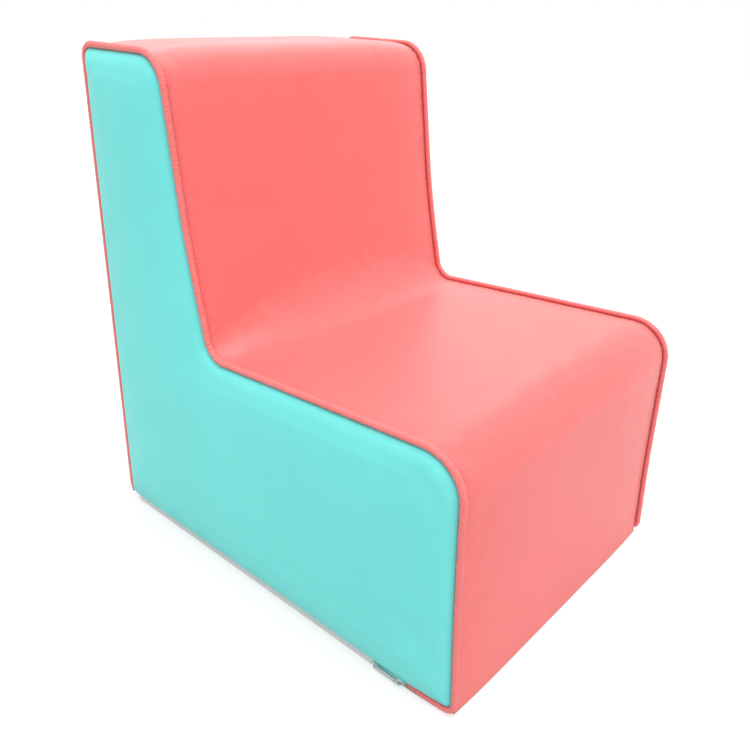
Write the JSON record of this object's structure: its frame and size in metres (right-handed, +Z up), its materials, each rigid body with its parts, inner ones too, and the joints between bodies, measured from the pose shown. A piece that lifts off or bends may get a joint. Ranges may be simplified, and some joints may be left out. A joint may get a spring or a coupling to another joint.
{
  "type": "children's foam block chair",
  "caption": "Armless child's chair: an L-shaped foam block in a sewn coral and turquoise cover with piped side seams and a zip round the foot.",
  "frame": {"origin": "middle of the floor print, on the floor", "axes": "+Z up, the front faces -Y, +X to the right seen from the front"},
  "size_m": [0.426, 0.5233, 0.5678],
  "materials": {
    "foam": "matt open-cell foam",
    "cover_coral": "smooth matt coated cloth",
    "cover_turquoise": "smooth matt coated cloth",
    "cord_white": "matt filler cord",
    "base_cloth": "matt non-woven cloth",
    "zip_tape": "woven white tape",
    "zip_coil": "white nylon",
    "zip_metal": "nickel plated"
  },
  "bodies": {
    "chair": {"foam_core": "foam", "main_strip": "cover_coral", "side_panel_left": "cover_turquoise", "side_panel_right": "cover_turquoise", "piping_sleeve_left": "cover_coral", "piping_sleeve_right": "cover_coral", "piping_cord_left": "cord_white", "piping_cord_right": "cord_white", "base_panel": "base_cloth", "zip_tape_upper": "zip_tape", "zip_tape_lower": "zip_tape", "zip_coil_upper": "zip_coil", "zip_coil_lower": "zip_coil", "zip_top_stops": "zip_metal", "zip_bottom_stop": "zip_metal", "zip_garage": "cover_turquoise"},
    "slider": {"zip_slider": "zip_metal"},
    "pull": {"zip_pull": "zip_metal"}
  },
  "joints": [
    {"name": "zip_slider_travel", "type": "slide", "parent": "chair", "child": "slider", "axis": [0, 1, 0], "range_m": [0, 0.435], "deforming": ["zip_coil_upper", "zip_coil_lower", "zip_tape_upper", "zip_tape_lower"]},
    {"name": "zip_pull_swing", "type": "hinge", "parent": "slider", "child": "pull", "pos_m": [-0.2092, -0.2013, 0.0048], "axis": [0, 0, 1], "range_deg": [0, 180]}
  ]
}
